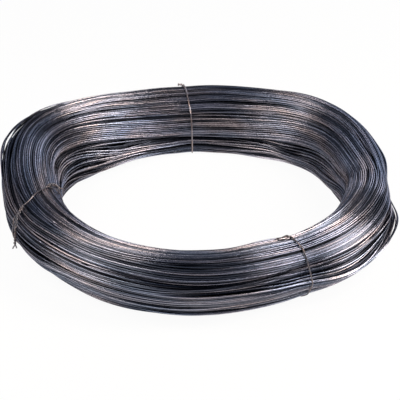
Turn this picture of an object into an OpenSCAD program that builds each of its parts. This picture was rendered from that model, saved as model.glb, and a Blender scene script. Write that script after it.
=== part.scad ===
// Coil of annealed rebar tie wire, lying flat and held by three twisted wire ties.
// Millimetres. +Z is up, the coil's axis is the Z axis, and the origin is on that axis at floor level.

/* [Winding] */
// Outside diameter of the winding
coil_od = 352; // [320:1:390]
// Open diameter inside the winding
bore_d = 250; // [225:1:275]
// Height of the coil lying flat
coil_h = 61; // [50:0.5:72]
// How square the section is: 2 is an ellipse, more is boxier
squareness = 2.35; // [2:0.05:3]
// How far the section leans outwards towards its top
lean = 0.2; // [0:0.01:0.3]
// How much of the underside the floor has flattened
settle = 0.9; // [0.4:0.1:2]

/* [Wire] */
// Diameter of the wire that is wound
wire_d = 1.2; // [0.9:0.05:1.6]
// Gap between neighbouring turns on the surface
turn_gap = 0.08; // [0.05:0.01:0.2]
// Width of the flat crest that stands for the rounded back of each turn
crest_w = 0.44; // [0.3:0.02:0.6]

/* [Ties] */
// Diameter of the tie wire
tie_d = 1.2; // [0.9:0.05:1.6]
// Clearance between a tie and the turns under it
seat_gap = 0.15; // [0.1:0.01:0.3]
// Length along the twisted end of one full twist
twist_pitch = 6; // [5.5:0.1:9]
// Length of the straight steps that a tie's loop is made of
loop_step = 1.8; // [1.5:0.1:2.2]

/* [Hidden] */

// Each tie: [place round the coil, slant from the radius], in degrees.
BACK_TIE = [94.6, 9];
FRONT_TIE = [301.4, 0];
LEFT_TIE = [197, 35];

// Each knot: [place round the section, heading of its twisted end, length of the twisted end,
// how far its tip stands off the winding]. A heading of 0 runs up over the section from the outside
// and 90 runs round the coil. The left tie is two wires joined by a knot at each side.
BACK_KNOT = [86, 90, 9, 1.8];
FRONT_KNOT = [90, -28, 20, 0.2];
OUTER_KNOT = [48, 180, 36, 2.5];
INNER_KNOT = [143, 0, 11, 4];

wire_r = wire_d / 2;
tie_r = tie_d / 2;
section_mid = (coil_od + bore_d) / 4;
section_a = (coil_od - bore_d) / 4 - wire_r;
section_b = (coil_h + settle) / 2 - wire_r;
ring_sides = 180;
tie_sides = 8;

// ---- Section of the winding, as a closed line through the middles of its outer turns ----

function powered(v) = sign(v) * pow(abs(v), 2 / squareness);
function leaning(t) = powered(cos(t)) + lean * powered(sin(t));
widest = max([for (t = [0:0.5:90]) leaning(t)]);
function section(t) = [
    section_mid + section_a * leaning(t) / widest,
    max(wire_r, coil_h - wire_r - section_b * (1 - powered(sin(t))))
];

// The same line, walked by its length
outline_steps = 720;
outline = [for (i = [0:outline_steps]) section(i * 360 / outline_steps)];
function lengths(i = 0, run = 0, list = []) =
    i > outline_steps
    ? list
    : let (next = i == 0 ? 0 : run + norm(outline[i] - outline[i - 1]))
      lengths(i + 1, next, concat(list, [next]));
walked = lengths();
girth = walked[outline_steps];
x_along = [for (i = [0:outline_steps]) [walked[i], outline[i][0]]];
z_along = [for (i = [0:outline_steps]) [walked[i], outline[i][1]]];
angle_along = [for (i = [0:outline_steps]) [walked[i], i * 360 / outline_steps]];
length_at = [for (i = [0:outline_steps]) [i * 360 / outline_steps, walked[i]]];

function wrapped(s) = s - girth * floor(s / girth);
function along(s) = [lookup(wrapped(s), x_along), lookup(wrapped(s), z_along)];
function outward(s) = let (d = along(s + 1.5) - along(s - 1.5)) [d[1], -d[0]] / norm(d);

// ---- The winding ----

turns_round = floor(girth / (wire_d + turn_gap));
turn_pitch = girth / turns_round;
valley_lift = 0.15 * wire_r;

function floored(p) = [p[0], max(0, p[1])];
function crest_point(s, side) =
    let (o = outward(s))
    floored(along(s) + wire_r * o + side * crest_w / 2 * [-o[1], o[0]]);
function valley_point(s) = along(s) + valley_lift * outward(s);

// Each turn on the outside of the winding is a flat crest between two sloping sides
module section_of_turns() {
    polygon([
        for (i = [0:turns_round - 1])
            let (s = i * turn_pitch)
            each [crest_point(s, -1), crest_point(s, 1), valley_point(s + turn_pitch / 2)]
    ]);
}

// The part of the section that lies so low that a tie passes through it on the floor
slot_h = tie_d + 3 * seat_gap;
low_turns = [for (p = outline) if (p[1] - wire_r < slot_h) p[0]];
slot_in = min(low_turns) - wire_r;
slot_out = max(low_turns) + wire_r;
slot_w = tie_d + 6 * seat_gap;

module tie_slot(tie) {
    slot_l = (slot_out - slot_in) / cos(tie[1]);
    rotate(tie[0]) translate([section_mid, 0, 0]) rotate(tie[1])
        translate([(slot_in - section_mid) / cos(tie[1]), -slot_w / 2, -slot_h])
            cube([slot_l, slot_w, 2 * slot_h]);
}

module coil() {
    color("#3d4048")
    difference() {
        rotate_extrude($fn = ring_sides) section_of_turns();
        for (tie = [BACK_TIE, FRONT_TIE, LEFT_TIE]) tie_slot(tie);
    }
}

// ---- Ties ----

loop_lift = wire_r + seat_gap + tie_r;
strand_gap = 0.06;
twist_r = tie_r + strand_gap;
twist_step = twist_pitch / 10;
knot_reach = 1.6 * tie_d;

// The angle round the coil where a straight slanted line in plan meets a given radius
function slanted(tie, r) =
    let (
        k = tan(tie[1]),
        x = (section_mid * k * k + sqrt((1 + k * k) * r * r - section_mid * section_mid * k * k)) / (1 + k * k)
    )
    tie[0] + atan2((x - section_mid) * k, x);

// A point over the winding: s runs round the section and lift is the height above its outer turns
function over(tie, s, aside, lift) =
    let (
        p = along(s) + lift * outward(s),
        turn = slanted(tie, p[0]) + aside / p[0] * 180 / PI
    )
    [p[0] * cos(turn), p[0] * sin(turn), max(tie_r, p[1])];

function unit(v) = v / norm(v);
function turned(v, axis, angle) =
    v * cos(angle) + cross(axis, v) * sin(angle) + axis * (axis * v) * (1 - cos(angle));

// The middle of a twisted end: it stands up from the knot, then bends over and runs along the winding,
// high enough to clear its own loop where it runs along it
function tail_point(tie, knot, d) =
    let (
        s0 = lookup(knot[0], length_at),
        bend = 1 - exp(-d / tie_d),
        clear = wire_r + seat_gap + tie_r + twist_r + abs(cos(knot[1])) * (tie_d + 2 * strand_gap),
        stand = loop_lift + (clear - loop_lift) * bend + knot[3] * pow(d / knot[2], 2),
        run = d - tie_d * bend
    )
    over(tie, s0 + run * cos(knot[1]), run * sin(knot[1]), stand);

function tail_frames(tie, knot, d, side, list) =
    d > knot[2]
    ? list
    : let (
        here = tail_point(tie, knot, d),
        ahead = unit(tail_point(tie, knot, d + twist_step / 2) - tail_point(tie, knot, d - twist_step / 2)),
        level = unit(side - ahead * (ahead * side))
      )
      tail_frames(tie, knot, d + twist_step, level, concat(list, [[here, ahead, level]]));

// One strand of a twisted end, from the knot to its cut tip
function strand(tie, knot, phase, short) =
    let (
        s0 = lookup(knot[0], length_at),
        side = unit(over(tie, s0 + 1, 0, loop_lift) - over(tie, s0 - 1, 0, loop_lift)),
        frames = tail_frames(tie, knot, 2 * twist_step, side, [])
    )
    [for (i = [0:len(frames) - 1 - short])
        frames[i][0] + twist_r * turned(frames[i][2], frames[i][1], phase + 360 * i * twist_step / twist_pitch)];

function reversed(list) = [for (i = [len(list) - 1:-1:0]) list[i]];

// Two stretches of one wire, joined by a smooth bend
function bent_on(a, b) =
    let (
        p = a[len(a) - 1],
        q = b[0],
        leave = norm(q - p) * unit(p - a[len(a) - 2]),
        arrive = norm(q - p) * unit(b[1] - q)
    )
    concat(a, [for (u = [0.25:0.25:0.75])
        p * (1 + 2 * u) * pow(1 - u, 2) + leave * u * pow(1 - u, 2)
        + q * u * u * (3 - 2 * u) - arrive * u * u * (1 - u)
    ], b);

// One wire: from its cut tip through the first knot, over the winding, and out through the last knot
function tie_route(tie, first, last) =
    let (
        s0 = lookup(first[0], length_at) + knot_reach,
        s1 = lookup(last[0], length_at) - knot_reach + (last[0] > first[0] ? 0 : girth),
        steps = ceil((s1 - s0) / loop_step)
    )
    bent_on(
        bent_on(
            reversed(strand(tie, first, 0, 0)),
            [for (i = [0:steps]) over(tie, s0 + (s1 - s0) * i / steps, 0, loop_lift)]
        ),
        strand(tie, last, 180, 3)
    );

function swept_rings(route, i, side, list) =
    i == len(route)
    ? list
    : let (
        ahead = unit(route[min(i + 1, len(route) - 1)] - route[max(i - 1, 0)]),
        level = unit(side - ahead * (ahead * side))
      )
      swept_rings(route, i + 1, level, concat(list, [[
          for (k = [0:tie_sides - 1]) route[i] + tie_r * turned(level, ahead, 360 * k / tie_sides)
      ]]));

module swept_wire(route) {
    rings = swept_rings(route, 0, [0.3, 0.5, 0.8], []);
    last = len(rings) - 1;
    polyhedron(
        points = [for (ring = rings) each ring],
        faces = concat(
            [[for (k = [0:tie_sides - 1]) k]],
            [for (i = [0:last - 1], k = [0:tie_sides - 1])
                let (n = (k + 1) % tie_sides, a = i * tie_sides, b = a + tie_sides)
                each [[a + k, b + k, b + n], [a + k, b + n, a + n]]],
            [[for (k = [tie_sides - 1:-1:0]) last * tie_sides + k]]
        )
    );
}

module tie_back() {
    color("#77767c") swept_wire(tie_route(BACK_TIE, BACK_KNOT, BACK_KNOT));
}

module tie_front() {
    color("#4c474a") swept_wire(tie_route(FRONT_TIE, FRONT_KNOT, FRONT_KNOT));
}

module tie_left_top() {
    color("#6b625f") swept_wire(tie_route(LEFT_TIE, OUTER_KNOT, INNER_KNOT));
}

module tie_left_bottom() {
    color("#5d5653") swept_wire(tie_route(LEFT_TIE, INNER_KNOT, OUTER_KNOT));
}

coil();
tie_back();
tie_front();
tie_left_top();
tie_left_bottom();
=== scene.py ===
import math
import bpy
import numpy as np
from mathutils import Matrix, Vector


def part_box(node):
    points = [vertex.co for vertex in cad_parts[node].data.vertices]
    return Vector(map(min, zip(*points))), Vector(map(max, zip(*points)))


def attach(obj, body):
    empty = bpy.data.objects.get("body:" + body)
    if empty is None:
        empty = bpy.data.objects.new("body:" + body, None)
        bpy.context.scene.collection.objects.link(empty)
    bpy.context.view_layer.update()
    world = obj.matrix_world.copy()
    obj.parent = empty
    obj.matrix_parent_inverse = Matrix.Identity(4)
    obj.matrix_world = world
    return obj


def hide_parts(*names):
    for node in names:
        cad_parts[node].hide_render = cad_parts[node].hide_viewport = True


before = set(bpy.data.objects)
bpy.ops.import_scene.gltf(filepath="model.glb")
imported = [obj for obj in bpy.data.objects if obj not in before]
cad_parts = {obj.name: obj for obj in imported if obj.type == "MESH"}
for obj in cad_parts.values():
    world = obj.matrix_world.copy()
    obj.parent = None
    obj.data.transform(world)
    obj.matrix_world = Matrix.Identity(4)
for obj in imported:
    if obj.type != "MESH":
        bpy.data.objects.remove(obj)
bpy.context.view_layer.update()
bpy.ops.object.select_all(action="DESELECT")

# ---- The wound wire ----
# One long length of thin annealed steel wire, wound into a ring that lies flat. It goes down in ribbons of
# turns that lie side by side, and each new ribbon settles into the hollows that the last ones left.

MM = 0.001
high_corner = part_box("coil")[1]
ring_out = high_corner[0] / MM
ring_high = high_corner[2] / MM
ring_in = 125.0
wire_d = 1.2
wire_r = wire_d / 2
reel = np.random.default_rng(11)

# A place on the ring is a station round the ring and a way round its section, 0 outwards and 90 up
stations, ways = 192, 1200
station_deg = np.arange(stations) * 360 / stations
station_rad = np.radians(station_deg)
way_rad = np.arange(ways) * 2 * np.pi / ways
column = np.arange(stations)
half_width = (ring_out - ring_in) / 2
half_height = ring_high / 2


def hump(at, spread, size):
    apart = (station_deg - at + 180) % 360 - 180
    return size * np.exp(-0.5 * (apart / spread) ** 2)


# The ring bulges between its three ties and is drawn in at each of them: station, spread, millimetres
room_for_bulges = 1.0
bulges = [(153, 16, 10.5), (41, 17, 7), (298, 15, -7), (222, 20, -4), (108, 14, -3), (338, 14, 2),
          (265, 20, 1.5), (54, 10, 2), (17, 9, -2.5)]
middle_r = sum((hump(*bulge) for bulge in bulges), (ring_out + ring_in) / 2 - room_for_bulges)

# It is also thicker in some stretches than in others: station, spread, share of the full section
usual_fullness = 0.955
thick_stretches = [(157, 20, 0.102), (303, 12, -0.04), (15, 14, -0.05), (230, 14, -0.03), (345, 12, 0.06),
                   (270, 12, 0.01), (98, 16, -0.012)]
fullness = sum((hump(*stretch) for stretch in thick_stretches), usual_fullness)
middle_z = half_height * fullness

# The section is a rounded block, leaning outwards, that the floor has flattened underneath
squareness, lean, flattened = 2.35, 0.2, 0.45


def squared(v):
    return np.sign(v) * np.abs(v) ** (2 / squareness)


angle = np.linspace(0, 2 * np.pi, 2000, endpoint=False)
block_x = squared(np.cos(angle)) + lean * squared(np.sin(angle))
block_x *= half_width / block_x.max()
block_z = np.maximum((half_height + flattened) * squared(np.sin(angle)), -half_height)
block_way = np.arctan2(block_z, block_x) % (2 * np.pi)
order = np.argsort(block_way)
block = np.interp(way_rad, block_way[order], np.hypot(block_x, block_z)[order], period=2 * np.pi)
skin = block[:, None] * fullness[None]


# A band runs along the ring through places (station, way), and swells or sinks the skin there
def band(places, wide, size, ease=8):
    at, way = np.array(places, float).T
    past_start = at[-1] > 360
    here = np.where(station_deg < at[0] - 30, station_deg + 360, station_deg) if past_start else station_deg
    begun = np.clip((here - at[0] + ease) / (2 * ease), 0, 1)
    unfinished = np.clip((at[-1] + ease - here) / (2 * ease), 0, 1)
    fade = begun * unfinished
    apart = (np.degrees(way_rad)[:, None] - np.interp(here, at, way)[None] + 180) % 360 - 180
    return size * np.exp(-0.5 * (apart / wide) ** 2) * (fade * fade * (3 - 2 * fade))[None]


# Bundles of turns swell in some places, and narrow grooves part them in others
lobes = (band([(346, 32), (368, 32)], 24, -8)
         + band([(352, 180), (370, 180)], 20, -4)
         + band([(306, -8), (336, -8)], 16, 5)
         + band([(308, -10), (322, -10)], 16, 3.5)
         + band([(352, 0), (368, 0)], 30, -3)
         + band([(190, -12), (222, -8)], 25, 5)
         + band([(20, 208), (55, 208)], 14, 5)
         + band([(128, 212), (158, 212)], 15, 9, ease=16)
         + band([(135, 20), (148, 20)], 20, 4)
         + band([(85, 235), (108, 235)], 25, -4, ease=18)
         + band([(64, 85), (120, 85)], 32, -2.4, ease=10)
         + band([(2, 205), (18, 205)], 25, -4, ease=10)
         + band([(245, -40), (285, -40)], 30, -1.5, ease=12)
         + band([(284, 118), (302, 118)], 22, 2.5, ease=10))
grooves = (band([(4, 158), (22, 165), (38, 178), (54, 194), (66, 206)], 6, -3.2)
           + band([(64, 204), (66, 206), (80, 210), (94, 210), (108, 204), (122, 192), (137, 177), (152, 162),
                   (170, 150)], 6, -6.5)
           + band([(243, 36), (256, 32), (270, 27), (290, 27), (303, 32)], 4, -6)
           + band([(262, 12), (275, 9), (290, 10), (303, 16)], 4, -5)
           + band([(300, 10), (317, 8), (330, 16), (338, 30), (344, 36)], 5, -6)
           + band([(145, 58), (174, 53), (194, 46), (204, 38)], 4, -4)
           + band([(201, 10), (208, 8), (222, 4)], 6, -4.5)
           + band([(70, 119), (104, 111)], 4, -1.5)
           + band([(77, 148), (94, 156), (111, 148), (124, 121)], 3.5, -2))


# Only the first few waves of a closed line are kept, so it bends gently
def low_waves(values, count):
    waves = np.fft.rfft(values)
    return np.fft.irfft(waves * np.exp(-(np.arange(len(waves)) / count) ** 2), len(values))


def along(places):
    at, value = np.array(places, float).T
    return low_waves(np.interp(station_deg, at, value), 14)


# The turns run along the grooves, so their course bends round the section with them: way, spread, bend
bends = [(158, 40, along([(0, -6), (4, 0), (22, 7), (38, 20), (54, 36), (66, 48), (80, 52), (94, 52),
                          (108, 46), (122, 34), (137, 19), (152, 4), (170, -8), (190, 0), (340, 0),
                          (359, -6)])),
         (22, 22, along([(285, 0), (300, -10), (317, -14), (330, -6), (338, 8), (344, 14), (358, 0)])),
         (50, 22, along([(120, 0), (145, 8), (174, 3), (194, -4), (204, -12), (218, 0)])),
         (32, 20, along([(232, 0), (243, 4), (256, 0), (270, -5), (290, -5), (303, 0)]))]


def course(lane):
    shift = 0
    for at, spread, size in bends:
        apart = (np.degrees(lane) - at + 180) % 360 - 180
        shift = shift + size * np.exp(-0.5 * (apart / spread) ** 2)
    return lane + np.radians(shift)


# The heap is how far out from the section's middle the turns laid so far reach. It has a row for each way,
# and the next turn's middle is about eight rows away
first_layer = 7.5
next_turn = 8
heap = skin - first_layer * (fullness.mean() / fullness)[None]
skin_step = np.hypot(skin, np.gradient(skin, 2 * np.pi / ways, axis=0))
near_rows = np.arange(-next_turn, next_turn + 1)[:, None]


def row(way):
    return np.round(way * ways / (2 * np.pi)).astype(int) % ways


def beside(way):
    near = (row(way)[None] + near_rows) % ways
    return near, (near * 2 * np.pi / ways - way[None] + np.pi) % (2 * np.pi) - np.pi


# How far out a round wire lies, or reaches, beside another whose middle is at this distance
def touching(out, aside):
    across = out * np.sin(aside)
    top = out * np.cos(aside) + np.sqrt(np.maximum(wire_r ** 2 - across ** 2, 0))
    return np.where(np.abs(across) < wire_r, top, 0)


def seat(way):
    near, aside = beside(way)
    return touching(heap[near, column[None]], aside).max(0)


def pile(way, lift):
    near, aside = beside(way)
    np.maximum.at(heap, (near, np.broadcast_to(column, near.shape)), touching(lift, aside))


turn_ways, turn_lifts, turn_ribbons = [], [], []
gone_round = station_rad / (2 * np.pi)
straightenings = 36


# A turn leaves from one course and ends on the next, so the wire never breaks off. It wobbles a little,
# lies on what is under it, and runs straight over the small hollows
def lay_turn(begin, finish, ribbon, wobble):
    way = begin * (1 - gone_round) + finish * gone_round
    for waves in (3, 4, 5, 7, 10):
        swing = reel.normal(0, wobble) / (waves - 2) ** 0.5 / half_width
        start = reel.uniform(0, 2 * np.pi)
        way = way + swing * np.sin(np.pi * gone_round) ** 0.3 * np.cos(waves * station_rad + start)
    rest = seat(way)
    lift = rest.copy()
    first = turn_lifts[-1][-1] if turn_lifts else lift[0]
    for _ in range(straightenings):
        before = np.r_[first, lift[:-1]]
        after = np.r_[lift[1:], lift[-1]]
        lift = np.maximum(rest, 0.25 * before + 0.25 * after + 0.5 * lift)
    pile(way, lift)
    turn_ways.append(way)
    turn_lifts.append(lift)
    turn_ribbons.append(ribbon)


# The first turns close the section all round
bed_turns = 108
level = np.zeros(stations)
for i in range(bed_turns):
    begin = course(level + 2 * np.pi * i / bed_turns)
    finish = course(level + 2 * np.pi * (i + 1) / bed_turns)
    lay_turn(begin, finish, 0, 0.05)

# A ribbon takes the emptiest closed course round the ring. It keeps to a lane of the section or moves a few
# lanes aside between two marks, and full places count against it
lanes, stride = 150, 3
marks = stations // stride
side_moves = (-3, -2, -1, 0, 1, 2, 3)
mark_middle = 0.33
mean_reach = 27
full = 0.5
lane_rows = row(course(np.repeat((np.arange(lanes) + 0.5)[:, None] * 2 * np.pi / lanes, stations, 1)))


def emptiest_course(width, stiffness, liking, start, pull):
    room = np.clip((skin - heap)[lane_rows, column[None]], -4, 5)
    room = np.where(room < full, room - 3 * (full - room), room)
    wide = max(1, round(width * wire_d / (2 * np.pi * mean_reach / lanes)))
    room = sum(np.roll(room, wide // 2 - i, 0) for i in range(wide)) / wide
    room = room.reshape(lanes, marks, stride).mean(2) + liking
    # It is followed three times round, so that the middle round can close on itself
    total, steps = np.zeros(lanes), []
    for _ in range(3):
        for mark in range(marks):
            offers = np.stack([np.roll(total, move) - stiffness * move * move for move in side_moves])
            steps.append(offers.argmax(0))
            total = offers.max(0) + room[:, mark]
    total = total - pull * np.abs((np.arange(lanes) - start + lanes / 2) % lanes - lanes / 2)
    path = [int(total.argmax())]
    for step in steps[::-1]:
        path.append(path[-1] - side_moves[step[path[-1] % lanes]])
    once = np.array(path[::-1][marks + 1:2 * marks + 2], float)
    once = once[:-1] - (once[-1] - once[0]) * np.arange(marks) / marks
    fine = np.interp(column / stride - mark_middle, np.arange(marks), low_waves(once, 6), period=marks)
    return course((low_waves(fine, 8) + 0.5) * 2 * np.pi / lanes)


# The winder's hand drifts, so a ribbon likes some places a little better than others
def drifting(amount):
    waves = np.fft.fft2(reel.normal(0, 1, (lanes, marks)))
    across = np.fft.fftfreq(lanes)[:, None] * lanes
    onward = np.fft.fftfreq(marks)[None] * marks
    field = np.fft.ifft2(waves * np.exp(-(across / 5) ** 2 - (onward / 2) ** 2)).real
    return amount * field / field.std()


# Ribbons go down until there is no place left for even a narrow one. The wire crosses over to the next
# ribbon's course in as many turns as it needs, and then each turn lies loosely beside the last. Late ribbons
# run straighter and keep nearer to the last one
most_turns = 900
fewest_wide, most_wide = 5, 14
tightest, loosest = 1.38, 1.66
crossing_step = 20
turn_wobble = 0.12
narrowest = 3
ribbon, narrowing = 1, 0
last = course(level)
while len(turn_ways) < most_turns:
    room = skin - heap
    late = np.clip(1 - (room.mean() - 0.5) / 4, 0, 1)
    width = max(1, round(reel.uniform(fewest_wide, most_wide) / 2 ** narrowing))
    start = (last[0] / (2 * np.pi) * lanes) % lanes
    best = emptiest_course(width, 1.0 + late, drifting(0.3 * (1 - late) + 0.05), start, 0.3 + 0.8 * late)
    side = 1 if ((best[0] - last[0] + np.pi) % (2 * np.pi) - np.pi) > 0 else -1
    best = best - side * 0.5 * (width - 1) * wire_d / mean_reach
    lines = [best + side * part * (width - 1) * wire_d / mean_reach for part in (0, 0.5, 1)]
    found = np.stack([room[row(line), column] for line in lines])
    if np.minimum(found, 1.5).mean() - 0.7 * np.maximum(-found, 0).mean() < full:
        narrowing += 1
        if narrowing > narrowest:
            break
        continue
    if reel.random() < 0.3:
        narrowing = max(0, narrowing - 1)
    best = best + 2 * np.pi * np.round((last[0] - best[0]) / (2 * np.pi))
    crossing = max(1, round(abs(best[0] - last[0]) * mean_reach / crossing_step))
    for i in range(crossing):
        aim = last + (best - last) * (i + 1) / crossing
        lay_turn(last + (best - last) * i / crossing, aim, ribbon, turn_wobble)
    last = best
    looseness = reel.uniform(tightest, loosest)
    for _ in range(width):
        following = last + side * looseness * wire_d / skin_step[row(last), column]
        lay_turn(last, following, ribbon, turn_wobble)
        last = following
    ribbon += 1
turn_ways, turn_lifts, turn_ribbons = np.array(turn_ways), np.array(turn_lifts), np.array(turn_ribbons)
turn_count = len(turn_ways)


# Pressing takes the broad unevenness out and leaves the ribbons standing, then adds lobes and grooves
def blurred(field, across, onward):
    i = np.fft.fftfreq(ways)[:, None] * ways * np.radians(across)
    j = np.fft.fftfreq(stations)[None] * stations * np.radians(onward)
    return np.fft.ifft2(np.fft.fft2(field) * np.exp(-0.5 * (i * i + j * j))).real


room = skin - heap
press = blurred(room, 8, 12)
press = press + 0.75 * blurred(room - press, 3, 6) + lobes + grooves

# Each tie's course gives its station at some ways round the section
ties = {"back": [(20, 95.8), (55, 96.3), (70, 95.5), (100, 95.2), (130, 94.5), (165, 94), (240, 93.6),
                 (330, 95.2)],
        "front": [(25, 303.4), (65, 302.8), (95, 303.2), (150, 303.2), (240, 304), (300, 305), (335, 304.2)],
        "left": [(0, 200), (35, 200.8), (52, 201.8), (63, 201.3), (75, 199.9), (88, 197.4), (100, 194.9),
                 (112, 192.8), (125, 190.8), (140, 189), (200, 190), (250, 195), (310, 199)]}


def tie_station(tie, way):
    given, at = np.array(ties[tie], float).T
    return np.interp(way, given, at, period=360)


def close_to(tie, way, radius, spread):
    away = (station_deg - tie_station(tie, way) + 180) % 360 - 180
    return np.exp(-0.5 * (away * np.radians(radius) / spread) ** 2)


# The turns are drawn in under each tie
drawn_in = 1.2
surface_r = middle_r[None] + (heap + press) * np.cos(way_rad)[:, None]
for tie in ties:
    press = press - drawn_in * close_to(tie, np.degrees(way_rad)[:, None], surface_r, 9)

# How deep each turn lies under the others tells whether it can be seen. The deeper ones come up a little
rows = row(turn_ways)
cover = np.full((turn_count, stations), 99.0)
for shift in (-10, -5, 0, 5, 10):
    cover = np.minimum(cover, heap[(rows + shift) % ways, column[None]] - turn_lifts)
seen = cover < 1.5 * wire_d
sunk = np.zeros((turn_count, stations))
for shift in range(-12, 13, 3):
    sunk = np.maximum(sunk, heap[(rows + shift) % ways, column[None]] - turn_lifts - wire_r)
settled = turn_lifts + 0.3 * np.clip(sunk - 0.3, 0, 3)
exact = turn_ways * ways / (2 * np.pi)
lower = np.floor(exact).astype(int)
pressed = (press[lower % ways, column[None]] * (lower + 1 - exact)
           + press[(lower + 1) % ways, column[None]] * (exact - lower))
lift = settled + pressed
radius = middle_r[None] + lift * np.cos(turn_ways)
height = middle_z[None] + lift * np.sin(turn_ways)

# No turn goes through the floor, and there is room for each tie under them. The lowest ones level off over
# their last millimetre above it
tie_room = 1.5
levelling = 1
floor_gap = wire_r + sum(tie_room * close_to(tie, np.degrees(turn_ways), radius, 6) for tie in ties)
levelled = floor_gap + np.exp(height - floor_gap - levelling)
height = np.where(height < floor_gap + levelling, levelled, height)


# In two places a few of the last turns stand away from the rest in loose bights. In the first they stand
# off about alike, every fifth by less, and in the second each stands off less than the one above it
def loosen(at, spread, lowest, highest, count, reach):
    here = round(at * stations / 360) % stations
    way_here = (np.degrees(turn_ways[:, here]) + 180) % 360 - 180
    loose = np.flatnonzero((way_here > lowest) & (way_here < highest) & (sunk[:, here] < 1.5))[-count:]
    loose = loose[np.argsort(-way_here[loose])]
    for i, turn in enumerate(loose):
        radius[turn] += hump(at + 3 * math.sin(2.4 * i), spread, reach(i))


def about_alike(i):
    return 6.0 * (0.88 + 0.12 * math.sin(2.4 * i) if i % 5 else 0.5)


def less_and_less(i):
    return 6.4 * 0.73 ** i


loosen(at=155, spread=10, lowest=26, highest=56, count=12, reach=about_alike)
loosen(at=343, spread=8, lowest=-26, highest=10, count=10, reach=less_and_less)
turn_points = np.stack([radius * np.cos(station_rad), radius * np.sin(station_rad), height], -1)
turn_points = turn_points.reshape(-1, 3)
for _ in range(4):
    turn_points[1:-1] = (turn_points[:-2] + 2 * turn_points[1:-1] + turn_points[2:]) / 4


# Wire is drawn as a round curve through its points, then made a mesh and its cut ends are closed
def draw_wire(name, runs, size, roundness):
    curve = bpy.data.curves.new(name, "CURVE")
    curve.dimensions = "3D"
    curve.bevel_depth = size * MM
    curve.bevel_resolution = roundness
    for run in runs:
        spline = curve.splines.new("POLY")
        spline.points.add(len(run) - 1)
        spline.points.foreach_set("co", np.c_[run * MM, np.ones(len(run))].ravel())
        spline.use_smooth = True
    piece = bpy.data.objects.new(name, curve)
    bpy.context.collection.objects.link(piece)
    bpy.ops.object.select_all(action="DESELECT")
    piece.select_set(True)
    bpy.context.view_layer.objects.active = piece
    bpy.ops.object.convert(target="MESH")
    bpy.ops.object.mode_set(mode="EDIT")
    bpy.ops.mesh.select_mode(type="VERT")
    bpy.ops.mesh.select_all(action="DESELECT")
    bpy.ops.mesh.select_non_manifold(use_wire=False, use_multi_face=False, use_non_contiguous=False,
                                     use_verts=False)
    bpy.ops.mesh.fill_holes(sides=0)
    bpy.ops.object.mode_set(mode="OBJECT")
    return piece


def give_value(piece, name, values):
    layer = piece.data.attributes.new(name, "FLOAT", "POINT")
    layer.data.foreach_set("value", np.asarray(values, np.float32))


def low_passed(values):
    for _ in range(3):
        values = (np.roll(values, 1, 1) + 2 * values + np.roll(values, -1, 1)) / 4
    return values


# Only what can be seen of each turn is drawn, with a little more at both ends
def seen_runs(start, stop):
    show = seen[start:stop].reshape(-1)
    for _ in range(3):
        show = show | np.r_[False, show[:-1]] | np.r_[show[1:], False]
    edges = np.flatnonzero(np.diff(np.r_[0, show.astype(int), 0])).reshape(-1, 2)
    return [(a + start * stations, b + start * stations) for a, b in edges if b - a > 3]


# How deep each point of the wire lies, grooves counted, which sets the painted shade, and which way is out
# and which is up the section there
in_groove = np.clip(-grooves - 2, 0, 3)[rows, column[None]]
turn_depth = low_passed(sunk + 0.4 * in_groove).reshape(-1)
turn_out = np.stack([np.cos(turn_ways) * np.cos(station_rad), np.cos(turn_ways) * np.sin(station_rad),
                     np.sin(turn_ways)], -1).reshape(-1, 3)
turn_up = np.stack([-np.sin(turn_ways) * np.cos(station_rad), -np.sin(turn_ways) * np.sin(station_rad),
                    np.cos(turn_ways)], -1).reshape(-1, 3)


# How closely the next turn stands beside a turn, 0 where the turn is proud of it and 1 where they are level
def closeness(shift):
    next_top = low_passed(heap[(rows + shift) % ways, column[None]] - turn_lifts)
    return np.clip((next_top + wire_r) / wire_d, 0, 1).reshape(-1)


close_above, close_below = closeness(next_turn), closeness(-next_turn)


# The flank of a wire is the part of its side that faces the next turn, where little light gets in, and its
# colour is darkened there as painted shade
def flank(piece, points):
    where = np.empty(len(piece.data.vertices) * 3, np.float32)
    piece.data.vertices.foreach_get("co", where)
    where = where.reshape(-1, 3) / MM - turn_points[points]
    above = (where * turn_up[points]).sum(1) > 0
    close = np.where(above, close_above[points], close_below[points])
    return close * (1 - np.clip((where * turn_out[points]).sum(1) / wire_r, 0, 1))


# The first turns are one mesh, and the rest of the wire is cut into six, each under the limit on triangles
strand_tone = reel.uniform(0, 1, turn_count)
ribbon_tone = reel.uniform(0, 1, ribbon)[turn_ribbons]
turn_roundness = 1
wire_sides = 4 + 2 * turn_roundness
bed_stride = 2
wound_pieces = 6
longest_run = 10 * stations
runs = [(c, min(c + longest_run + 1, b)) for a, b in seen_runs(bed_turns, turn_count)
        for c in range(a, b - 3, longest_run)]
drawn = np.cumsum([b - a for a, b in runs])
stretches = [("first_turns", [np.arange(0, bed_turns * stations, bed_stride)])]
for k in range(wound_pieces):
    mine = [run for run, end in zip(runs, drawn) if k <= (end - 1) * wound_pieces / drawn[-1] < k + 1]
    stretches.append((f"wound_turns_{k + 1}", [np.arange(a, b) for a, b in mine]))
wound = []
for name, mine in stretches:
    piece = draw_wire(name, [turn_points[run] for run in mine], wire_r, turn_roundness)
    points = np.concatenate([np.repeat(run, wire_sides) for run in mine])
    give_value(piece, "strand", strand_tone[points // stations])
    give_value(piece, "ribbon", ribbon_tone[points // stations])
    give_value(piece, "depth", turn_depth[points])
    give_value(piece, "flank", flank(piece, points))
    wound.append(piece)


# Small helpers for material nodes, in a material or in a group
def calc(tree, operation, a, b=None):
    node = tree.nodes.new("ShaderNodeMath")
    node.operation = operation
    for socket, source in zip(node.inputs, (a, b)):
        if isinstance(source, (int, float)):
            socket.default_value = source
        elif source is not None:
            tree.links.new(source, socket)
    return node.outputs[0]


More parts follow.
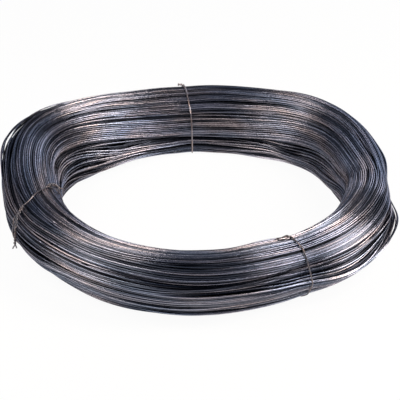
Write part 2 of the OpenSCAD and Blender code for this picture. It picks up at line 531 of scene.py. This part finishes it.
def stretched(tree, source, low, high):
    node = tree.nodes.new("ShaderNodeMapRange")
    node.inputs["From Min"].default_value = low
    node.inputs["From Max"].default_value = high
    tree.links.new(source, node.inputs["Value"])
    return node.outputs["Result"]


def mixed(tree, share, a, b, how="MIX"):
    node = tree.nodes.new("ShaderNodeMix")
    node.data_type = "RGBA"
    node.blend_type = how
    sockets = {s.identifier: s for s in node.inputs}
    for name, source in (("Factor_Float", share), ("A_Color", a), ("B_Color", b)):
        if isinstance(source, (int, float, tuple)):
            sockets[name].default_value = source
        else:
            tree.links.new(source, sockets[name])
    return next(s for s in node.outputs if s.identifier == "Result_Color")


def grey(value):
    return (value, value, value, 1)


def attribute(tree, name):
    node = tree.nodes.new("ShaderNodeAttribute")
    node.attribute_name = name
    return node.outputs["Fac"]


# Streaks run along the wire, so their noise is drawn out round the ring
def ring_place_group():
    group = bpy.data.node_groups.new("place_on_ring", "ShaderNodeTree")
    for name in ("Across", "Onward"):
        group.interface.new_socket(name, in_out="INPUT", socket_type="NodeSocketFloat")
    group.interface.new_socket("Place", in_out="OUTPUT", socket_type="NodeSocketVector")
    group.interface.new_socket("W", in_out="OUTPUT", socket_type="NodeSocketFloat")
    given = group.nodes.new("NodeGroupInput").outputs
    out = group.nodes.new("NodeGroupOutput").inputs
    where = group.nodes.new("ShaderNodeTexCoord")
    split = group.nodes.new("ShaderNodeSeparateXYZ")
    group.links.new(where.outputs["Object"], split.inputs[0])
    x, y, z = split.outputs
    r = calc(group, "SQRT", calc(group, "ADD", calc(group, "MULTIPLY", x, x), calc(group, "MULTIPLY", y, y)))
    join = group.nodes.new("ShaderNodeCombineXYZ")
    group.links.new(calc(group, "MULTIPLY", r, given["Across"]), join.inputs[0])
    group.links.new(calc(group, "MULTIPLY", z, given["Across"]), join.inputs[1])
    group.links.new(calc(group, "MULTIPLY", calc(group, "DIVIDE", x, r), given["Onward"]), join.inputs[2])
    group.links.new(join.outputs[0], out["Place"])
    group.links.new(calc(group, "MULTIPLY", calc(group, "DIVIDE", y, r), given["Onward"]), out["W"])
    return group


ring_place = ring_place_group()


def noise_on_ring(tree, across, onward, detail):
    place = tree.nodes.new("ShaderNodeGroup")
    place.node_tree = ring_place
    place.inputs["Across"].default_value = across
    place.inputs["Onward"].default_value = onward
    noise = tree.nodes.new("ShaderNodeTexNoise")
    noise.noise_dimensions = "4D"
    noise.inputs["Scale"].default_value = 1.0
    noise.inputs["Detail"].default_value = detail
    tree.links.new(place.outputs["Place"], noise.inputs["Vector"])
    tree.links.new(place.outputs["W"], noise.inputs["W"])
    return noise.outputs["Fac"]


# Annealing leaves a dark oxide that turns from slate blue to brown, with a fine dusty grain
def oxide_group():
    group = bpy.data.node_groups.new("annealed_oxide", "ShaderNodeTree")
    for name in ("Warmth", "Grain"):
        group.interface.new_socket(name, in_out="INPUT", socket_type="NodeSocketFloat")
    for name in ("Cool", "Middle", "Warm"):
        group.interface.new_socket(name, in_out="INPUT", socket_type="NodeSocketColor")
    group.interface.new_socket("Color", in_out="OUTPUT", socket_type="NodeSocketColor")
    group.interface.new_socket("Roughness", in_out="OUTPUT", socket_type="NodeSocketFloat")
    given = group.nodes.new("NodeGroupInput").outputs
    out = group.nodes.new("NodeGroupOutput").inputs
    tint = mixed(group, stretched(group, given["Warmth"], 0, 0.55), given["Cool"], given["Middle"])
    tint = mixed(group, stretched(group, given["Warmth"], 0.55, 1), tint, given["Warm"])
    grain = stretched(group, given["Grain"], 0.3, 0.7)
    grainy = mixed(group, 1.0, tint, mixed(group, grain, grey(0.8), grey(1.2)), "MULTIPLY")
    group.links.new(grainy, out["Color"])
    group.links.new(calc(group, "ADD", calc(group, "MULTIPLY", grain, 0.09), 0.145), out["Roughness"])
    return group


annealed_oxide = oxide_group()


def oxide(tree, warmth, grain, *tones):
    node = tree.nodes.new("ShaderNodeGroup")
    node.node_tree = annealed_oxide
    tree.links.new(warmth, node.inputs["Warmth"])
    tree.links.new(grain, node.inputs["Grain"])
    for name, tone in zip(("Cool", "Middle", "Warm"), tones):
        node.inputs[name].default_value = (*tone, 1)
    return node.outputs["Color"], node.outputs["Roughness"]


def dusty_bump(tree, shader, grain, strength):
    bump = tree.nodes.new("ShaderNodeBump")
    bump.inputs["Strength"].default_value = strength
    bump.inputs["Distance"].default_value = 0.0001
    tree.links.new(grain, bump.inputs["Height"])
    tree.links.new(bump.outputs["Normal"], shader.inputs["Normal"])


# Each strand and each ribbon has its own tone, and the colour is darkened to nearly black down between the
# turns and on their flanks, as painted shade
slate, steel_grey, brown = (0.22, 0.265, 0.36), (0.3, 0.31, 0.38), (0.38, 0.345, 0.37)
painted_shade_colour = (0.038, 0.043, 0.06, 1)
steel = bpy.data.materials.new("annealed_steel_wire")
steel.use_nodes = True
tree = steel.node_tree
shader = tree.nodes["Principled BSDF"]
strand, ribbon_value = attribute(tree, "strand"), attribute(tree, "ribbon")
streak = noise_on_ring(tree, across=90, onward=2.2, detail=2)
patch = noise_on_ring(tree, across=30, onward=1.2, detail=1)
speck = noise_on_ring(tree, across=900, onward=12, detail=2)
most_noise = (0.35, 0.65)
warmth = stretched(tree, streak, *most_noise)
for own_tone, amount in ((strand, 0.5), (ribbon_value, 0.4)):
    warmth = calc(tree, "ADD", warmth, calc(tree, "MULTIPLY", calc(tree, "SUBTRACT", own_tone, 0.5), amount))
shade, roughness = oxide(tree, warmth, speck, slate, steel_grey, brown)
patches = mixed(tree, stretched(tree, patch, *most_noise), (0.75, 0.75, 0.8, 1), (1.3, 1.25, 1.2, 1))
shade = mixed(tree, 1.0, shade, patches, "MULTIPLY")
# Painted shade: deep turns, groove bottoms and flanks facing the next turn take a near-black colour
painted_shade = calc(tree, "MAXIMUM", stretched(tree, attribute(tree, "depth"), 0.7, 2.4),
              stretched(tree, attribute(tree, "flank"), 0.15, 0.62))
shade = mixed(tree, painted_shade, shade, painted_shade_colour)
shade = mixed(tree, 1.0, shade, mixed(tree, strand, grey(0.4), grey(1.6)), "MULTIPLY")
tree.links.new(shade, shader.inputs["Base Color"])
tree.links.new(calc(tree, "ADD", roughness, calc(tree, "MULTIPLY", strand, 0.1)), shader.inputs["Roughness"])
shader.inputs["Metallic"].default_value = 0.9
shader.inputs["Specular Tint"].default_value = (0.45, 0.45, 0.47, 1)
dusty_bump(tree, shader, speck, 0.15)
for piece in wound:
    piece.data.materials.append(steel)
    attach(piece, "root")
    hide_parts("coil")

# ---- The three ties ----
# Each tie is a length of the same soft wire, pulled tight once round the winding. Its ends are twisted
# together with pliers and bent over. The left tie is two wires, with a knot on each side of the winding.

tie_wire_r = 0.6
tie_roundness = 2
tie_seat = 0.05
surface = heap + press


# Pulled tight, a wire bridges every hollow, so it follows the hull of the section that it goes round
def tight_loop(tie):
    place = tie_station(tie, np.degrees(way_rad)) * stations / 360
    low = np.floor(place).astype(int) % stations
    next_on = (low + 1) % stations
    part = place % 1
    out = np.maximum(surface[np.arange(ways), low], surface[np.arange(ways), next_on])
    radius = middle_r[low] * (1 - part) + middle_r[next_on] * part + out * np.cos(way_rad)
    height = middle_z[low] * (1 - part) + middle_z[next_on] * part + out * np.sin(way_rad)
    height = np.maximum(height, 2 * tie_wire_r + 2 * tie_seat)
    middle = np.array([radius.mean(), height.mean()])
    facing = np.linspace(0, 2 * np.pi, 720, endpoint=False)
    out = np.stack([np.cos(facing), np.sin(facing)], -1)
    reach = (np.stack([radius, height], -1) - middle) @ out.T
    reach = low_waves(reach.max(0) + tie_wire_r + tie_seat, 45)
    swing = (np.roll(reach, -1) - np.roll(reach, 1)) / (2 * facing[1])
    loop = middle + reach[:, None] * out + swing[:, None] * np.stack([-out[:, 1], out[:, 0]], -1)
    return np.degrees(np.unwrap(np.arctan2(*(loop - middle).T[::-1]))), loop, out


loops = {tie: tight_loop(tie) for tie in ties}


# A place on a tie's course: a way round the section, so far out from it and so far along the ring
def by_tie(tie, way, lift=0.0, aside=0.0):
    ways_round, loop, out = loops[tie]
    on_loop = [np.interp(way, ways_round, loop[:, k], period=360) for k in (0, 1)]
    off_loop = [np.interp(way, ways_round, out[:, k], period=360) for k in (0, 1)]
    r = on_loop[0] + lift * off_loop[0]
    z = np.maximum(on_loop[1] + lift * off_loop[1], tie_wire_r)
    at = np.radians(tie_station(tie, way)) + aside / r
    return np.stack([r * np.cos(at), r * np.sin(at), z], -1)


point_step = 0.4


def evenly(points, smoothings):
    points = np.array(points)
    gone = np.r_[0, np.cumsum(np.linalg.norm(np.diff(points, axis=0), axis=1))]
    places = np.linspace(0, gone[-1], max(3, round(gone[-1] / point_step)))
    points = np.stack([np.interp(places, gone, points[:, k]) for k in range(3)], -1)
    for _ in range(smoothings):
        points[1:-1] = (points[:-2] + 2 * points[1:-1] + points[2:]) / 4
    return points


# Two strands wind round one middle line, once in each pitch, and part again over its last few millimetres
def twisted_ends(middle, beside, pitch, parting, spread, slack):
    middle = evenly(middle, 16)
    ahead = np.gradient(middle, axis=0)
    ahead /= np.linalg.norm(ahead, axis=1)[:, None]
    across = []
    for direction in ahead:
        beside = beside - direction * (beside @ direction)
        beside = beside / np.linalg.norm(beside)
        across.append(beside)
    across = np.array(across)
    gone = point_step * np.arange(len(middle))
    parted = np.clip(1 - (gone[-1] - gone) / parting, 0, 1)
    turned = 2 * np.pi * (gone - 0.5 * parting * parted ** 2) / pitch
    apart = (tie_wire_r + slack + spread * parted ** 2)[:, None]
    swing = apart * (across * np.cos(turned)[:, None] + np.cross(ahead, across) * np.sin(turned)[:, None])
    return middle + swing, middle - swing


def tied(tie, middle, pitch, parting, spread, slack=0.0):
    knot_way = middle[0][0]
    beside = by_tie(tie, knot_way + 2) - by_tie(tie, knot_way - 2)
    return twisted_ends([by_tie(tie, *place) for place in middle], beside, pitch, parting, spread, slack)


def round_winding(tie, begin, end):
    return by_tie(tie, np.linspace(begin, end, round(abs(end - begin) / 2)))


def tie_wire(*stretches):
    return evenly(np.concatenate(stretches), 6)


# Back: the knot is on top, and its short ends lie along the top turns
near, far = tied("back", [(66, 0.2, 0), (66, 1.3, 0.3), (66.5, 1.8, 1.5), (67, 1.9, 4), (67, 2.1, 6)],
                 pitch=4.5, parting=2.5, spread=0.5)
back_wire = tie_wire(near[::-1], round_winding("back", 69.5, 422.5), far)

# Front: one end is folded into a flat hook on top of the turns, and the other is cut short
near, far = tied("front", [(90, 0.2, 0), (90.5, 1.4, -0.5), (92, 1.8, -2), (94, 1.8, -4)],
                 pitch=3.6, parting=1.5, spread=0.4)
hook_places = [(97, 1.0, -6), (101, 0.8, -8.5), (105, 0.7, -11), (104, 0.7, -12.8), (98, 0.8, -13.2),
               (94, 0.9, -11.5), (92, 1.1, -8.5), (89, 1.4, -5.5)]
hook = [by_tie("front", *place) for place in hook_places]
front_wire = tie_wire(near[::-1], round_winding("front", 93.5, 446.5), far, evenly([far[-1], *hook], 10))

# Left: the knot outside leaves long twisted ends that hang down, and the one inside is bent over the edge
outer = [(55, 0.3, 0), (53.5, 1.6, 0.3), (50, 2.2, 1.2), (42, 2.0, 4), (31, 1.9, 7.5), (19, 2.0, 10.5),
         (7, 2.0, 12.5), (-5, 2.4, 13.2), (-14, 3.2, 12.8), (-22, 4.6, 11.5)]
inner = [(109, 0.3, 0), (110.5, 1.7, -0.2), (114, 2.5, -0.6), (119, 2.7, -0.8), (125, 2.8, -0.6),
         (131, 2.9, 0.2), (135, 3.2, 1.6), (138, 3.6, 3.4)]
outer_near, outer_far = tied("left", outer, pitch=6.5, parting=8, spread=0.9, slack=0.2)
inner_near, inner_far = tied("left", inner, pitch=3.8, parting=3, spread=0.8, slack=0.7)
over_wire = tie_wire(outer_near[::-1], round_winding("left", 58.5, 105.5), inner_far)
under_wire = tie_wire(inner_near[::-1], round_winding("left", 112.5, 411.5), outer_far)

# The same oxide, browner, and lighter all along the back tie as a painted highlight
tie_steel = bpy.data.materials.new("tie_wire_steel")
tie_steel.use_nodes = True
tree = tie_steel.node_tree
shader = tree.nodes["Principled BSDF"]


def noise_on_tie(tree, scale, detail):
    where = tree.nodes.new("ShaderNodeTexCoord")
    noise = tree.nodes.new("ShaderNodeTexNoise")
    noise.inputs["Scale"].default_value = scale
    noise.inputs["Detail"].default_value = detail
    tree.links.new(where.outputs["Object"], noise.inputs["Vector"])
    return noise.outputs["Fac"]


stain = noise_on_tie(tree, scale=140, detail=2)
grit = noise_on_tie(tree, scale=1600, detail=3)
dark_grey, dark_brown, rust_brown = (0.2, 0.195, 0.22), (0.22, 0.19, 0.195), (0.25, 0.195, 0.18)
shade, roughness = oxide(tree, stretched(tree, stain, *most_noise), grit, dark_grey, dark_brown, rust_brown)
# Painted highlight: the back tie's colour is made lighter, and the other ties a little darker
painted_highlight_tint = mixed(tree, attribute(tree, "painted_highlight"), grey(0.6), grey(1.6))
tree.links.new(mixed(tree, 1.0, shade, painted_highlight_tint, "MULTIPLY"), shader.inputs["Base Color"])
tree.links.new(calc(tree, "ADD", roughness, 0.1), shader.inputs["Roughness"])
shader.inputs["Metallic"].default_value = 0.9
dusty_bump(tree, shader, grit, 0.3)

# The last value is each tie's share of the painted highlight
for name, node, wire_line, painted_highlight in (("back_tie_wire", "tie_back", back_wire, 1.0),
                                       ("front_tie_wire", "tie_front", front_wire, 0.35),
                                       ("left_tie_over", "tie_left_top", over_wire, 0.35),
                                       ("left_tie_under", "tie_left_bottom", under_wire, 0.35)):
    piece = draw_wire(name, [wire_line], tie_wire_r, tie_roundness)
    give_value(piece, "painted_highlight", np.full(len(piece.data.vertices), painted_highlight))
    piece.data.materials.append(tie_steel)
    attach(piece, "root")
    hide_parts(node)

# ---- The floor ----
# A plain white sheet that the coil lies on. It isn't part of the object. The camera sees it as plain white
# where no shadow falls, and the wire mirrors it more dimly.

bpy.ops.mesh.primitive_plane_add(size=6, location=(0, 0, 0))
floor = bpy.context.object
floor.name = "floor"
white = bpy.data.materials.new("white_floor")
white.use_nodes = True
tree = white.node_tree
shader = tree.nodes["Principled BSDF"]
shader.inputs["Base Color"].default_value = grey(0.9)
shader.inputs["Roughness"].default_value = 1.0
path = tree.nodes.new("ShaderNodeLightPath").outputs
mirrored = calc(tree, "MAXIMUM", path["Is Glossy Ray"], path["Is Transmission Ray"])
glow_share = calc(tree, "MAXIMUM", calc(tree, "MULTIPLY", path["Is Camera Ray"], 0.95),
                  calc(tree, "MULTIPLY", mirrored, 0.37))
glow = tree.nodes.new("ShaderNodeEmission")
both = tree.nodes.new("ShaderNodeMixShader")
tree.links.new(glow_share, both.inputs[0])
tree.links.new(shader.outputs[0], both.inputs[1])
tree.links.new(glow.outputs[0], both.inputs[2])
tree.links.new(both.outputs[0], tree.nodes["Material Output"].inputs["Surface"])
floor.data.materials.append(white)

# ---- The light ----
# A dim, cool room with two warm soft boxes above the coil at the right and left, which make the bright
# patches on the wire, and weak cool ones behind and above it.

world = bpy.data.worlds.new("room")
bpy.context.scene.world = world
world.use_nodes = True
background = world.node_tree.nodes["Background"]
background.inputs["Color"].default_value = (0.53, 0.684, 1.0, 1)
background.inputs["Strength"].default_value = 0.1224


def soft_box(name, toward, distance, wide, tall, power, tone):
    bpy.ops.object.light_add(type="AREA", location=Vector(toward).normalized() * distance)
    lamp = bpy.context.object
    lamp.name = name
    lamp.data.energy = power
    lamp.data.color = tone
    lamp.data.shape = "RECTANGLE"
    lamp.data.size = wide
    lamp.data.size_y = tall
    lamp.rotation_euler = (-lamp.location).to_track_quat("-Z", "Y").to_euler()


warm, cool = (1, 0.9, 0.8), (0.85, 0.9, 1)
soft_box("right_light", (0.77, -0.15, 0.64), distance=1.0, wide=0.36, tall=0.85, power=13.0, tone=warm)
soft_box("left_light", (-0.64, -0.16, 0.75), distance=0.75, wide=0.26, tall=0.6, power=3.5, tone=warm)
soft_box("back_left_light", (-0.45, 0.86, 0.24), distance=1.4, wide=0.7, tall=0.7, power=1.18, tone=cool)
soft_box("back_right_light", (0.45, 0.86, 0.24), distance=1.4, wide=0.7, tall=0.7, power=3.53, tone=cool)
soft_box("over_light", (0.0, -0.3, 1.0), distance=2.2, wide=1.6, tall=1.6, power=0.43, tone=cool)

# ---- The camera ----
# A long lens stands well in front of the coil and looks down on it, so that the near and the far side of the
# ring come out at about the same scale.

downward = math.radians(30.3)
away = 2.45
aim_left, aim_down = 0.0009, 0.0048
camera_data = bpy.data.cameras.new("camera")
camera_data.lens = 245.5
camera_data.sensor_width = 36
camera_data.clip_end = 20
camera = bpy.data.objects.new("camera", camera_data)
bpy.context.collection.objects.link(camera)
bpy.context.scene.camera = camera
up = Vector((0, math.sin(downward), math.cos(downward)))
look = Vector((0, math.cos(downward), -math.sin(downward)))
camera.location = Vector((-aim_left, 0, half_height * MM)) - up * aim_down - look * away
camera.rotation_euler = look.to_track_quat("-Z", "Y").to_euler()
bpy.context.scene.view_settings.view_transform = "Standard"
